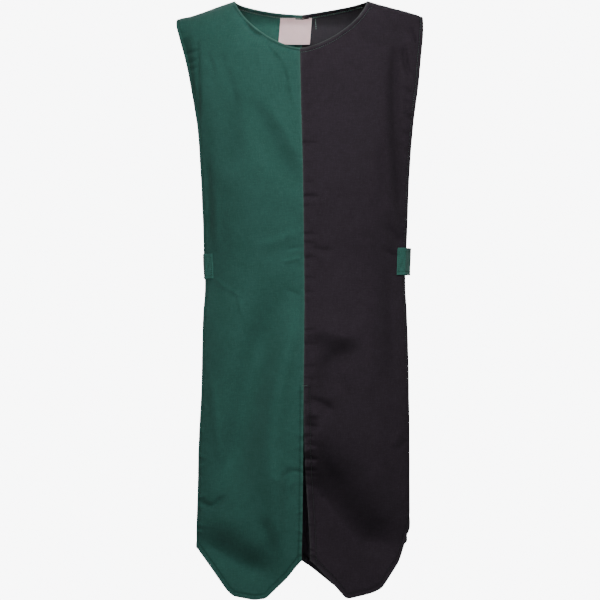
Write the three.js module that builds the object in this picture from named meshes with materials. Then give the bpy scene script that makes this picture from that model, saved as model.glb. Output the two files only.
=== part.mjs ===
// Two-colour tabard: a sleeveless overgarment worn over the head, one half green and one half black, open down
// both sides and held in at the waist by a cloth tab on each side. Its front is slit from the thigh down and all
// four half panels end in a clipped, pointed tail. It keeps the hollow form it has when worn.
// Millimetres, +Z up. +X is the wearer's left, the front faces -Y. The origin is the middle of the neck opening,
// level with the points where neck and shoulders meet, and the ridge of the shoulders lies in the plane Y = 0.
import * as THREE from "three";

// Cloth
const CLOTH_WALL = 1.2; // one layer of cotton twill
const HEM_WALL = 2.0; // the same cloth turned in and stitched down
const SEAM_GAP = 0.3; // between pieces that are sewn together
const TAB_WALL = 1.8; // a strap folded double
const LABEL_WALL = 1.0;

// Neck
const NECK_HALF_WIDTH = 121;
const NECK_DROP = { front: 93, back: 17 };
// Exponent of each neckline's curve: 2 would be an ellipse and 1 a straight V
const NECK_FULLNESS = { front_green: 1.52, front_black: 1.52, back_green: 1.5, back_black: 1.22 };

// How far below the shoulder's ridge the cloth has turned from lying on the shoulder to hanging
const TURN_AT_NECK = { front: 70, back: 38 };
const TURN_AT_TIP = { front: 48, back: 45 };

// Where the slit begins, where the side tabs sit and where the tails begin
const SLIT_TOP = -703;
const TABS = { right: { top: -466, bottom: -511 }, left: { top: -455, bottom: -504.5 } };
const TAIL_START = -930;

// Shoulder ridge: drop below the neck point at a distance out from the middle
const SHOULDER = [
  { out: 0, right: 0, left: 0 },
  { out: 121, right: 0, left: 0 },
  { out: 155, right: 11.5, left: 10 },
  { out: 188, right: 24, left: 20 },
  { out: 215, right: 29.5, left: 27 },
  { out: 223, right: 32, left: 31 },
  { out: 229, right: 37, left: 37 },
];

// Level by level: how far out the right and left edges hang, how far the middle of the front and of the back
// stand from the shoulder plane, how far their side edges do, and how squarely the section turns between them
const LEVELS = [
  { z: 0, right: 229, left: 224.5, front: 48, back: 62, edge: 25, turn: 2.2 },
  { z: -45, right: 229, left: 224.5, front: 56, back: 74, edge: 27, turn: 2.3 },
  { z: -70, right: 223, left: 223, front: 62, back: 82, edge: 30, turn: 2.4 },
  { z: -113, right: 211.5, left: 218.5, front: 72, back: 92, edge: 36, turn: 2.6 },
  { z: -157, right: 202.5, left: 214, front: 85, back: 99, edge: 41, turn: 2.8 },
  { z: -201, right: 194.5, left: 208, front: 94, back: 104, edge: 45, turn: 3 },
  { z: -245, right: 187.5, left: 203, front: 101, back: 106, edge: 47, turn: 3 },
  { z: -332, right: 182.5, left: 197, front: 107, back: 104, edge: 44, turn: 3 },
  { z: -419, right: 178.5, left: 194, front: 105, back: 98, edge: 37, turn: 2.9 },
  { z: -480, right: 177, left: 191.5, front: 102, back: 94, edge: 33, turn: 2.8 },
  { z: -528, right: 175.5, left: 190.5, front: 102, back: 94, edge: 35, turn: 2.8 },
  { z: -572, right: 178, left: 193, front: 103, back: 96, edge: 39, turn: 2.9 },
  { z: -637, right: 180, left: 195, front: 105, back: 98, edge: 43, turn: 3 },
  { z: -724, right: 182, left: 196, front: 107, back: 100, edge: 47, turn: 3 },
  { z: -811, right: 186, left: 197.5, front: 108, back: 103, edge: 49, turn: 3 },
  { z: -898, right: 188, left: 198, front: 108, back: 105, edge: 50, turn: 3 },
  { z: -964, right: 190, left: 198.5, front: 108, back: 106, edge: 51, turn: 3 },
  { z: -1120, right: 193, left: 199, front: 107, back: 106, edge: 52, turn: 3 },
];

// Middle of the front and of the back: where the green and the black half end. Below SLIT_TOP the front is open.
const MIDDLE = [
  { z: 0, green: -1.8, black: -1.8, back: 2 },
  { z: -93, green: -1.8, black: -1.8, back: 2 },
  { z: -192, green: 0, black: 0, back: 2 },
  { z: -336, green: 3.6, black: 3.6, back: 1 },
  { z: -560, green: 6.2, black: 6.2, back: 0 },
  { z: -690, green: 4.6, black: 4.6, back: 0 },
  { z: -703, green: 4.5, black: 4.5, back: 0 },
  { z: -842, green: 3.6, black: 7.1, back: 0 },
  { z: -960, green: 2.3, black: 14.3, back: 0 },
  { z: -1010, green: 0.9, black: 16, back: 0 },
  { z: -1120, green: 0.9, black: 16, back: 0 },
];

// Lower edge of each half, from the slit (across 0) to the side (across 1): height of the hem
const TAILS = {
  front_green: [
    { across: 0, z: -1014 },
    { across: 0.13, z: -1046 },
    { across: 0.33, z: -1083.5 },
    { across: 0.44, z: -1086.5 },
    { across: 0.64, z: -1080.5 },
    { across: 0.7, z: -1070 },
    { across: 0.84, z: -1035 },
    { across: 1, z: -998 },
  ],
  front_black: [
    { across: 0, z: -1015 },
    { across: 0.2, z: -1052 },
    { across: 0.35, z: -1083.5 },
    { across: 0.4, z: -1083.5 },
    { across: 0.62, z: -1075 },
    { across: 0.71, z: -1068 },
    { across: 0.89, z: -1024 },
    { across: 1, z: -963 },
  ],
  back_green: [
    { across: 0, z: -1042 },
    { across: 0.14, z: -1062 },
    { across: 0.32, z: -1090 },
    { across: 0.44, z: -1097 },
    { across: 0.64, z: -1090 },
    { across: 0.7, z: -1079 },
    { across: 0.84, z: -1044 },
    { across: 1, z: -1005 },
  ],
  back_black: [
    { across: 0, z: -1042 },
    { across: 0.14, z: -1063 },
    { across: 0.32, z: -1092 },
    { across: 0.44, z: -1097 },
    { across: 0.64, z: -1088 },
    { across: 0.72, z: -1076 },
    { across: 0.85, z: -1040 },
    { across: 1, z: -1000 },
  ],
};

// Largest folds: a trough (deep above 0) or a ridge (below 0) from (x, z) at its top to (x, z) at its foot
const FOLDS = {
  front: [
    { topX: -198, topZ: -50, footX: -184, footZ: -230, wide: 11, deep: 5 },
    { topX: 190, topZ: -60, footX: 176, footZ: -430, wide: 9, deep: 5 },
    { topX: -64, topZ: -590, footX: -156, footZ: -930, wide: 30, deep: 6 },
    { topX: -20, topZ: -590, footX: -26, footZ: -880, wide: 20, deep: -4 },
    { topX: -176, topZ: -975, footX: -66, footZ: -1045, wide: 42, deep: 6 },
    { topX: 48, topZ: -640, footX: 62, footZ: -880, wide: 20, deep: 4 },
    { topX: 162, topZ: -480, footX: 164, footZ: -740, wide: 15, deep: 4 },
    { topX: 22, topZ: -870, footX: 180, footZ: -1040, wide: 52, deep: 12 },
  ],
  back: [
    { topX: -196, topZ: -50, footX: -178, footZ: -260, wide: 11, deep: 5 },
    { topX: 192, topZ: -50, footX: 180, footZ: -300, wide: 10, deep: 5 },
    { topX: -90, topZ: -470, footX: -60, footZ: -880, wide: 28, deep: 6 },
    { topX: 70, topZ: -540, footX: 112, footZ: -960, wide: 26, deep: 6 },
    { topX: 14, topZ: -520, footX: -6, footZ: -900, wide: 24, deep: -4 },
    { topX: -140, topZ: -760, footX: -118, footZ: -1050, wide: 26, deep: -4 },
  ],
};

// Grid of each half panel: shares of the way across from the middle to the side edge, and counts of steps down.
// The step from 0.9 carries the tab, the last one is the side hem and the first one the slit's hem.
const ACROSS = [0, 0.045, 0.15, 0.26, 0.38, 0.5, 0.62, 0.72, 0.81, 0.9, 0.955, 1];
const TAB_COLUMN = 9;
const HEM_COLUMN = { middle: 0, side: ACROSS.length - 1 };
const NECK_STEPS = 8;
const CHEST_STEPS = 11;
const TAB_STEPS = 2;
const SKIRT_STEPS = 13;
const TAIL_STEPS = 5;

// Level at the side edge of the neckline's last row, the level from which rows run straight across, and how
// closely they follow each other at the middle just below the neck
const SIDE_BELOW_TURN = -118;
const ROWS_LEVEL_BELOW = -320;
const ROWS_CLOSER_AT_NECK = { front: 1.1, back: 1.7 };

// Side tabs: steps round from the front panel to the back panel, and how far they bow out on the way
const TAB_ARC_STEPS = 6;
const TAB_BOW = 4;

// Neck label, on the inside of the back: its corners, its clearance at the top and how far its foot stands off
const LABEL = { fromX: -41, toX: 20.5, top: -24, bottom: -74, clear: 2.6, standOff: 5 };
const LABEL_STEPS = { across: 8, down: 5 };

const COLOURS = { green: 0x2f5045, black: 0x252328, label: 0xd6c9c6 };

// Value of one column of a table at a place, on a smooth curve through its rows
function along(rows, key, column, place) {
  const falling = rows[0][key] > rows[rows.length - 1][key];
  const at = (row) => (falling ? -row[key] : row[key]);
  const p = falling ? -place : place;
  const last = rows.length - 1;
  if (p <= at(rows[0])) return rows[0][column];
  if (p >= at(rows[last])) return rows[last][column];
  let i = 0;
  while (p > at(rows[i + 1])) i += 1;
  const slope = (a, b) => (rows[b][column] - rows[a][column]) / (at(rows[b]) - at(rows[a]));
  const tangent = (k) => slope(Math.max(k - 1, 0), Math.min(k + 1, last));
  const step = at(rows[i + 1]) - at(rows[i]);
  const t = (p - at(rows[i])) / step;
  const chord = rows[i + 1][column] - rows[i][column];
  const startPull = step * tangent(i) - chord;
  const endPull = chord - step * tangent(i + 1);
  return rows[i][column] + t * chord + t * (1 - t) * ((1 - t) * startPull + t * endPull);
}

// Value of one column of a table at a place, on straight lines between its rows
function straight(rows, key, column, place) {
  for (let i = 1; i < rows.length; i += 1) {
    const [a, b] = [rows[i - 1], rows[i]];
    if (place <= b[key]) {
      return THREE.MathUtils.mapLinear(place, a[key], b[key], a[column], b[column]);
    }
  }
  return rows[rows.length - 1][column];
}

const lerp = THREE.MathUtils.lerp;
const sideOf = (half) => (half === "green" ? "right" : "left");
const signOf = (half) => (half === "green" ? -1 : 1);

// Height of the shoulder's ridge over a point
function ridge(x) {
  return -straight(SHOULDER, "out", x < 0 ? "right" : "left", Math.abs(x));
}

// Sum of the folds at a point of the front or back, as a depth into the cloth
function foldDepth(face, x, z) {
  let depth = 0;
  for (const f of FOLDS[face]) {
    const t = (f.topZ - z) / (f.topZ - f.footZ);
    if (t <= 0 || t >= 1) continue;
    const offset = (x - lerp(f.topX, f.footX, t)) / f.wide;
    depth += f.deep * Math.sin(Math.PI * t) ** 0.7 * Math.exp(-offset * offset);
  }
  return depth;
}

// Distance of the cloth from the shoulder plane at a point of the front or back
function standOut(face, x, z) {
  const side = x < 0 ? "right" : "left";
  const edge = along(LEVELS, "z", "edge", z);
  const middle = along(LEVELS, "z", face, z);
  const across = Math.min(Math.abs(x) / along(LEVELS, "z", side, z), 1);
  const section = edge + (middle - edge) * (1 - across ** along(LEVELS, "z", "turn", z));
  const toTip = THREE.MathUtils.clamp((Math.abs(x) - NECK_HALF_WIDTH) / 100, 0, 1);
  const turn = lerp(TURN_AT_NECK[face], TURN_AT_TIP[face], toTip);
  const drop = Math.max(ridge(x) - z, 0);
  const hung = drop >= turn ? 1 : Math.sqrt(1 - (1 - drop / turn) ** 2);
  return (section - foldDepth(face, x, z)) * hung;
}

// Point of the cloth's outer face over (x, z)
function clothPoint(face, x, z) {
  const out = SEAM_GAP / 2 + standOut(face, x, z);
  return new THREE.Vector3(x, face === "front" ? -out : out, z);
}

// Where a half panel's middle edge runs at a level
function middleX(face, half, z) {
  const seam = along(MIDDLE, "z", face === "front" ? half : "back", z);
  return seam + (signOf(half) * SEAM_GAP) / 2;
}

// Rows of a half panel from the shoulder to the tail: where each starts at the middle and ends at the side edge,
// both as { x, z }, and how far it still follows the shoulder's slope. The first rows start on the neckline.
function panelRows(face, half) {
  const sign = signOf(half);
  const side = sideOf(half);
  const tip = SHOULDER[SHOULDER.length - 1];
  const tipX = side === "right" ? tip.out : LEVELS[0].left;
  const tipZ = ridge(sign * tipX);
  const sideX = (z) => sign * Math.min(along(LEVELS, "z", side, z), tipX);
  const rows = [];
  const turned = TURN_AT_TIP[face];
  for (let i = 0; i <= NECK_STEPS; i += 1) {
    const angle = (i / NECK_STEPS) * (Math.PI / 2);
    const power = 2 / NECK_FULLNESS[face + "_" + half];
    const out = NECK_HALF_WIDTH * Math.cos(angle) ** power;
    const z = -NECK_DROP[face] * Math.sin(angle) ** power;
    const x = i === NECK_STEPS ? middleX(face, half, z) : sign * Math.max(out, 0.5);
    const share = i / NECK_STEPS;
    const onTurn = tipZ - turned * (1 - Math.cos(Math.min(share * 1.25, 1) * (Math.PI / 2)));
    const below = Math.max(share - 0.8, 0) / 0.2;
    const sideZ = lerp(onTurn, SIDE_BELOW_TURN, below);
    rows.push({ middle: { x, z }, side: { x: i === 0 ? sign * tipX : sideX(sideZ), z: sideZ }, slope: 1 });
  }
  const addRows = (from, to, steps) => {
    for (let i = 1; i <= steps; i += 1) {
      const sideZ = lerp(from, to, i / steps);
      const share = (SIDE_BELOW_TURN - sideZ) / (SIDE_BELOW_TURN - ROWS_LEVEL_BELOW);
      const fromNeck = lerp(-NECK_DROP[face], ROWS_LEVEL_BELOW, share ** ROWS_CLOSER_AT_NECK[face]);
      const z = share < 1 ? fromNeck : sideZ;
      const slope = Math.max(1 - share, 0);
      rows.push({ middle: { x: middleX(face, half, z), z }, side: { x: sideX(sideZ), z: sideZ }, slope });
    }
  };
  addRows(SIDE_BELOW_TURN, TABS[side].top, CHEST_STEPS);
  addRows(TABS[side].top, TABS[side].bottom, TAB_STEPS);
  addRows(TABS[side].bottom, TAIL_START, SKIRT_STEPS);
  return rows;
}

// Outer face of a half panel as a grid of points, row by row
function panelGrid(face, half) {
  const rows = panelRows(face, half);
  const grid = rows.map(({ middle, side, slope }) =>
    ACROSS.map((share) => {
      const x = lerp(middle.x, side.x, share);
      const drop = lerp(slope * ridge(middle.x) - middle.z, slope * ridge(side.x) - side.z, share);
      return clothPoint(face, x, slope * ridge(x) - drop);
    }),
  );
  const tail = TAILS[face + "_" + half];
  for (let i = 1; i <= TAIL_STEPS; i += 1) {
    grid.push(
      ACROSS.map((share) => {
        const z = lerp(TAIL_START, straight(tail, "across", "z", share), i / TAIL_STEPS);
        const sideX = signOf(half) * along(LEVELS, "z", sideOf(half), z);
        return clothPoint(face, lerp(middleX(face, half, z), sideX, share), z);
      }),
    );
  }
  return grid;
}

// Unit normal of a grid at one of its points, on the side away from the wearer
function normalAt(grid, i, j, face) {
  const down = new THREE.Vector3().subVectors(
    grid[Math.min(i + 1, grid.length - 1)][j],
    grid[Math.max(i - 1, 0)][j],
  );
  const over = new THREE.Vector3().subVectors(
    grid[i][Math.min(j + 1, grid[i].length - 1)],
    grid[i][Math.max(j - 1, 0)],
  );
  const normal = down.cross(over).normalize();
  const away = face === "front" ? -normal.y : normal.y;
  return away + 0.5 * normal.z < 0 ? normal.negate() : normal;
}

// Inner face of a half panel: the outer face moved in by the wall, which is thicker where the edge is turned in
function innerGrid(grid, face) {
  const lastRow = grid.length - 1;
  return grid.map((row, i) =>
    row.map((point, j) => {
      const atNeck = j === HEM_COLUMN.middle && i > 0 && i <= NECK_STEPS;
      const atSlit = face === "front" && j === HEM_COLUMN.middle && point.z < SLIT_TOP;
      const hemmed = atNeck || atSlit || j === HEM_COLUMN.side || i === lastRow;
      const inner = point.clone().addScaledVector(normalAt(grid, i, j, face), hemmed ? -HEM_WALL : -CLOTH_WALL);
      if (j === HEM_COLUMN.middle && i >= NECK_STEPS) inner.x = point.x;
      if (i === 0) inner.set(point.x, point.y, point.z - CLOTH_WALL);
      return inner;
    }),
  );
}

// Closed solid between two grids of the same size, one the outer and one the inner face of a layer of cloth
function layer(outer, inner) {
  const down = outer.length;
  const across = outer[0].length;
  const positions = [...outer.flat(), ...inner.flat()].flatMap((p) => [p.x, p.y, p.z]);
  const at = (side, i, j) => side * down * across + i * across + j;
  const faces = [];
  const quad = (a, b, c, d) => faces.push(a, b, c, a, c, d);
  for (let i = 0; i < down - 1; i += 1) {
    for (let j = 0; j < across - 1; j += 1) {
      quad(at(0, i, j), at(0, i, j + 1), at(0, i + 1, j + 1), at(0, i + 1, j));
      quad(at(1, i, j), at(1, i + 1, j), at(1, i + 1, j + 1), at(1, i, j + 1));
    }
    quad(at(0, i, 0), at(0, i + 1, 0), at(1, i + 1, 0), at(1, i, 0));
    quad(at(0, i + 1, across - 1), at(0, i, across - 1), at(1, i, across - 1), at(1, i + 1, across - 1));
  }
  for (let j = 0; j < across - 1; j += 1) {
    quad(at(0, 0, j + 1), at(0, 0, j), at(1, 0, j), at(1, 0, j + 1));
    quad(at(0, down - 1, j), at(0, down - 1, j + 1), at(1, down - 1, j + 1), at(1, down - 1, j));
  }
  if (volumeOf(positions, faces) < 0) faces.reverse();
  const geometry = new THREE.BufferGeometry();
  geometry.setAttribute("position", new THREE.Float32BufferAttribute(positions, 3));
  geometry.setIndex(faces);
  geometry.computeVertexNormals();
  return geometry;
}

// Signed volume inside a set of triangles, below 0 when they face inwards
function volumeOf(positions, faces) {
  const corner = (k) => new THREE.Vector3().fromArray(positions, 3 * faces[k]);
  let sum = 0;
  for (let k = 0; k < faces.length; k += 3) {
    sum += corner(k).dot(corner(k + 1).cross(corner(k + 2))) / 6;
  }
  return sum;
}

// A side tab: it lies on the front panel's edge, goes round the open side and lies on the back panel's edge.
// Both ends are made from the panels' own points, moved out.
function tabGeometry(frontGrid, backGrid) {
  const firstRow = NECK_STEPS + CHEST_STEPS;
  const lastColumn = ACROSS.length - 1;
  const path = (i, lift) => {
    const lifted = (grid, face, j) =>
      grid[i][j].clone().addScaledVector(normalAt(grid, i, j, face), lift);
    const front = [];
    const back = [];
    for (let j = TAB_COLUMN; j <= lastColumn; j += 1) {
      front.push(lifted(frontGrid, "front", j));
      back.unshift(lifted(backGrid, "back", j));
    }
    const [start, end] = [front[front.length - 1], back[0]];
    const outward = Math.sign(start.x);
    const arc = [];
    for (let k = 1; k < TAB_ARC_STEPS; k += 1) {
      const t = k / TAB_ARC_STEPS;
      const point = new THREE.Vector3().lerpVectors(start, end, t);
      point.x += outward * TAB_BOW * Math.sin(Math.PI * t);
      arc.push(point);
    }
    return [...front, ...arc, ...back];
  };
  const rows = Array.from({ length: TAB_STEPS + 1 }, (_, k) => firstRow + k);
  const inner = rows.map((i) => path(i, SEAM_GAP));
  const outer = rows.map((i) => path(i, SEAM_GAP + TAB_WALL));
  for (let k = 0; k <= TAB_STEPS; k += 1) {
    for (let n = ACROSS.length - TAB_COLUMN; n < outer[k].length - (ACROSS.length - TAB_COLUMN); n += 1) {
      outer[k][n].x = inner[k][n].x + Math.sign(inner[k][n].x) * TAB_WALL;
      outer[k][n].y = inner[k][n].y;
      outer[k][n].z = inner[k][n].z;
    }
  }
  return layer(outer, inner);
}

// The neck label: flat on the inside of the back at its stitched top, standing off it a little at its foot
function labelGeometry() {
  const face = (extra) =>
    Array.from({ length: LABEL_STEPS.down + 1 }, (_, i) =>
      Array.from({ length: LABEL_STEPS.across + 1 }, (_, j) => {
        const down = i / LABEL_STEPS.down;
        const x = lerp(LABEL.fromX, LABEL.toX, j / LABEL_STEPS.across);
        const z = lerp(LABEL.top, LABEL.bottom, down);
        const clear = HEM_WALL + LABEL.clear + LABEL.standOff * down ** 2 + extra;
        const point = clothPoint("back", x, z);
        point.y -= clear;
        return point;
      }),
    );
  return layer(face(0), face(LABEL_WALL));
}

const materials = {
  green: new THREE.MeshStandardMaterial({ color: COLOURS.green, roughness: 0.85, metalness: 0 }),
  black: new THREE.MeshStandardMaterial({ color: COLOURS.black, roughness: 0.85, metalness: 0 }),
  label: new THREE.MeshStandardMaterial({ color: COLOURS.label, roughness: 0.7, metalness: 0 }),
};

function named(name, geometry, material) {
  const mesh = new THREE.Mesh(geometry, material);
  mesh.name = name;
  return mesh;
}

// The four half panels, sewn at the shoulders and down the middle of the front and back
const panels = new THREE.Group();
const grids = {};
for (const face of ["front", "back"]) {
  for (const half of ["green", "black"]) {
    const name = face + "_" + half;
    grids[name] = panelGrid(face, half);
    panels.add(named(name, layer(grids[name], innerGrid(grids[name], face)), materials[half]));
  }
}

// What is sewn on to them: both side tabs are green
const trims = new THREE.Group();
trims.add(named("tab_right", tabGeometry(grids.front_green, grids.back_green), materials.green));
trims.add(named("tab_left", tabGeometry(grids.front_black, grids.back_black), materials.green));
trims.add(named("neck_label", labelGeometry(), materials.label));

const tabard = new THREE.Group();
tabard.name = "tabard";
tabard.add(panels, trims);

export default tabard;
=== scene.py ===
import math

import bmesh
import bpy
import numpy as np
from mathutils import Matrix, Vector, noise


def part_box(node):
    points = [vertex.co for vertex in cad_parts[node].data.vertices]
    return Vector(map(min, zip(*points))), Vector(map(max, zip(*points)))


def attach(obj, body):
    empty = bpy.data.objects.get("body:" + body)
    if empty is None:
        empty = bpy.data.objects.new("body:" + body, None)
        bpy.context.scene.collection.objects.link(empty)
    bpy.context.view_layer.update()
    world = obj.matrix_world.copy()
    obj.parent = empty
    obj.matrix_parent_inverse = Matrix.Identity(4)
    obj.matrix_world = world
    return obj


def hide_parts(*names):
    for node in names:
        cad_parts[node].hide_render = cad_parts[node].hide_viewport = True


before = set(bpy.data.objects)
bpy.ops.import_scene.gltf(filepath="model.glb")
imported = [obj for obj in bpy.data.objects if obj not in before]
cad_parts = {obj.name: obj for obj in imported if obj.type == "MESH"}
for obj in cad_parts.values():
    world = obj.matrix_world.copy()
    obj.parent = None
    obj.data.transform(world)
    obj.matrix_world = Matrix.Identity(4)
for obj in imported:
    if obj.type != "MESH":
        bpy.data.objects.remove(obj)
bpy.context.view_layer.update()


# Camera
# Level with the middle of the garment and straight in front of it, from 3.5 m away.

VIEW_DISTANCE = 3.5
VIEW_BREADTH = 1.104  # seen in the shoulder plane
VIEW_MIDDLE = (-0.00184, -0.55)
SENSOR = 36

view = bpy.data.cameras.new("camera")
view.sensor_width = SENSOR
view.lens = SENSOR * VIEW_DISTANCE / VIEW_BREADTH
camera = bpy.data.objects.new("camera", view)
camera.location = (VIEW_MIDDLE[0], -VIEW_DISTANCE, VIEW_MIDDLE[1])
camera.rotation_euler = (math.radians(90), 0, 0)
bpy.context.collection.objects.link(camera)
bpy.context.scene.camera = camera


# Studio
# A plain pale floor in a pale surround. A large soft light stands high in front and to the garment's left, a
# lower one in front, a small one into the neck, the same large pair behind, and a weak one beside it.

FLOOR_LEVEL = -1.6
FLOOR_HALF = 2.9
PALE = "#f6f7f8"
SEEN_PALE = 9.0  # how bright floor and surround look, so that they stay plain, whatever light falls on them
FLOOR_GLOW = 0.05
SURROUND_GLOW = 0.03


def linear(colour):
    """Turns an sRGB hex colour to linear RGBA."""
    parts = [int(colour[i:i + 2], 16) / 255 for i in (1, 3, 5)]
    return [p / 12.92 if p <= 0.04045 else ((p + 0.055) / 1.055) ** 2.4 for p in parts] + [1.0]


def add_node(tree, kind, settings=None, links=None):
    """Adds a node to a tree, sets its inputs or properties by name, and links its inputs by name to outputs
    or to nodes' first outputs."""
    node = tree.nodes.new("ShaderNode" + kind)
    for name, value in (settings or {}).items():
        if isinstance(name, int) or name in node.inputs:
            node.inputs[name].default_value = value
        else:
            setattr(node, name, value)
    for name, source in (links or {}).items():
        tree.links.new(getattr(source, "outputs", [source])[0], node.inputs[name])
    return node


def new_material(name):
    """A material with an empty tree."""
    material = bpy.data.materials.new(name)
    material.use_nodes = True
    material.node_tree.nodes.clear()
    return material, material.node_tree


def finish_material(tree, shader, kind="OutputMaterial"):
    """Links a shader to the tree's output."""
    add_node(tree, kind, {}, {"Surface": shader})


def link_piece(mesh, material):
    """Makes an object of a mesh and gives it a material."""
    mesh.materials.append(material)
    mesh.shade_smooth()
    piece = bpy.data.objects.new(mesh.name, mesh)
    bpy.context.collection.objects.link(piece)
    return piece


def link_mesh(name, bm, material):
    """Makes an object of a bmesh."""
    mesh = bpy.data.meshes.new(name)
    bm.to_mesh(mesh)
    bm.free()
    return link_piece(mesh, material)


def seen_strength(tree, faint):
    """Strength of something pale, faint as a light and bright where the camera sees it."""
    path = add_node(tree, "LightPath")
    return add_node(tree, "MapRange", {"To Min": faint, "To Max": SEEN_PALE},
                    {"Value": path.outputs["Is Camera Ray"]})


# Floor of pale paper, matt and even
paper, tree = new_material("background_paper")
paper_shader = add_node(
    tree, "BsdfPrincipled",
    {"Base Color": linear(PALE), "Roughness": 0.9, "Specular IOR Level": 0.1, "Emission Color": linear(PALE)},
    {"Emission Strength": seen_strength(tree, FLOOR_GLOW)})
finish_material(tree, paper_shader)

bm = bmesh.new()
bmesh.ops.create_grid(bm, x_segments=8, y_segments=8, size=FLOOR_HALF)
bmesh.ops.translate(bm, verts=bm.verts, vec=(0, 0, FLOOR_LEVEL))
floor = link_mesh("paper_floor", bm, paper)


def add_light(name, place, aim, size, spread, power):
    """A soft box with a grid that narrows its light to a spread in degrees, turned towards a point."""
    data = bpy.data.lights.new(name, "AREA")
    data.shape = "RECTANGLE"
    data.size, data.size_y = size
    data.spread = math.radians(spread)
    data.energy = power
    light = bpy.data.objects.new(name, data)
    light.location = place
    light.rotation_euler = (Vector(aim) - Vector(place)).to_track_quat("-Z", "Y").to_euler()
    light.visible_camera = False
    bpy.context.collection.objects.link(light)


add_light("key_light", (0.8, -1.7, 1.65), (0, 0, -0.25), (0.9, 0.7), 68, 3.5)
add_light("front_light", (-0.25, -2.6, 0.3), (0, 0, -0.4), (1.0, 0.8), 60, 4.4)
add_light("neck_light", (-0.16, -1.6, 0.4), (0, 0.06, 0.02), (0.16, 0.12), 11, 0.1)
add_light("side_light", (2.0, 1.1, 0.5), (0, 0, -0.4), (0.7, 1.6), 120, 1)
add_light("back_key_light", (-0.8, 1.7, 1.65), (0, 0, -0.25), (0.9, 0.7), 68, 3.5)
add_light("back_light", (0.25, 2.6, 0.3), (0, 0, -0.4), (1.0, 0.8), 60, 4.4)

# Surround, pale where it is seen and faint as a light
surround = bpy.data.worlds.new("surround")
surround.use_nodes = True
tree = surround.node_tree
tree.nodes.clear()
sky = add_node(tree, "Background", {"Color": linear(PALE)},
               {"Strength": seen_strength(tree, SURROUND_GLOW)})
finish_material(tree, sky, "OutputWorld")
bpy.context.scene.world = surround


# Front halves
# Cotton twill in two halves, the wearer's right green and left black, each a straight panel about 225 mm
# wide with a quarter of the round neck and a clipped point at its foot. They are sewn together down the
# middle to the slit, and their edges are turned in and stitched. The form is that of the solids, in mm.

MM = 0.001
NECK_HALF_WIDTH = 121
NECK_DROP = {"front": 95, "back": 17}
NECK_FULLNESS = {"front_green": 1.52, "front_black": 1.52, "back_green": 1.5, "back_black": 1.1}
TURN_AT_NECK = {"front": 70, "back": 38}
TURN_AT_TIP = {"front": 48, "back": 45}
YOKE_FOOT = -320
TAIL_START = -930
SLIT_TOP = -703

# Shoulder ridge: drop at a distance out, for the right and left shoulder
SHOULDER = np.array([
    (0, 0, 0), (121, 0, 0), (138, 6, 4.6), (155, 12, 9.3), (188, 23.6, 18.3), (205, 29.2, 23),
    (215, 31.2, 26), (222, 32.6, 29), (226, 33.8, 33), (229, 37, 37)])

# Height, how far out the right and left edges are, how far the middle of the front and of the back and the
# side edges stand from the shoulder plane, and how squarely the section turns
LEVELS = np.array([
    (0, 229, 224.5, 48, 62, 25, 2.2), (-45, 229, 224.5, 56, 74, 27, 2.3), (-70, 223, 223, 62, 82, 30, 2.4),
    (-113, 211.5, 218.5, 72, 92, 36, 2.6), (-157, 202.5, 214, 85, 99, 41, 2.8),
    (-201, 194.5, 208, 94, 104, 45, 3), (-245, 187.5, 203, 101, 106, 47, 3),
    (-332, 182.5, 197, 107, 104, 44, 3), (-419, 178.5, 194, 105, 98, 37, 2.9),
    (-480, 177, 191.5, 102, 94, 33, 2.8),
    (-528, 175.5, 190.5, 102, 94, 35, 2.8), (-572, 178, 193, 103, 96, 39, 2.9),
    (-637, 180, 195, 105, 98, 43, 3), (-724, 182, 196, 107, 100, 47, 3), (-811, 186, 197.5, 108, 103, 49, 3),
    (-898, 188, 198, 108, 105, 50, 3), (-964, 190, 198.5, 108, 106, 51, 3),
    (-1120, 193, 199, 107, 106, 52, 3)])
LEVEL_COLUMN = {"green": 1, "black": 2, "front": 3, "back": 4, "edge": 5, "turn": 6}

# Height, and where the green and the black front half and both back halves end in the middle
MIDDLE = np.array([
    (0, -1.8, -1.8, 2), (-93, -1.8, -1.8, 2), (-192, 0, 0, 2), (-336, 3.6, 3.6, 1), (-560, 6.2, 6.2, 0),
    (-690, 4.6, 4.6, 0), (-703, 4.5, 4.5, 0), (-842, 3.6, 7.1, 0), (-960, 2.3, 14.3, 0), (-1010, 0.9, 16, 0),
    (-1120, 0.9, 16, 0)])
MIDDLE_COLUMN = {"front_green": 1, "front_black": 2, "back_green": 3, "back_black": 3}

# Hem of each tail: share of the way from the middle to the side and a little past it, and height
TAILS = {
    "front_green": [(0, -1014), (0.13, -1046), (0.33, -1083.5), (0.44, -1086.5), (0.64, -1080.5),
                    (0.7, -1070), (0.84, -1035), (1, -998), (1.05, -986)],
    "front_black": [(0, -1015), (0.2, -1052), (0.35, -1083.5), (0.4, -1083.5), (0.62, -1075), (0.71, -1068),
                    (0.89, -1024), (1, -963), (1.05, -935)],
    "back_green": [(0, -1042), (0.14, -1062), (0.32, -1090), (0.44, -1097), (0.64, -1090), (0.7, -1079),
                   (0.84, -1044), (1, -1005), (1.05, -993)],
    "back_black": [(0, -1042), (0.14, -1063), (0.32, -1092), (0.44, -1097), (0.64, -1088), (0.72, -1076),
                   (0.85, -1040), (1, -1000), (1.05, -987)],
}


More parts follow.
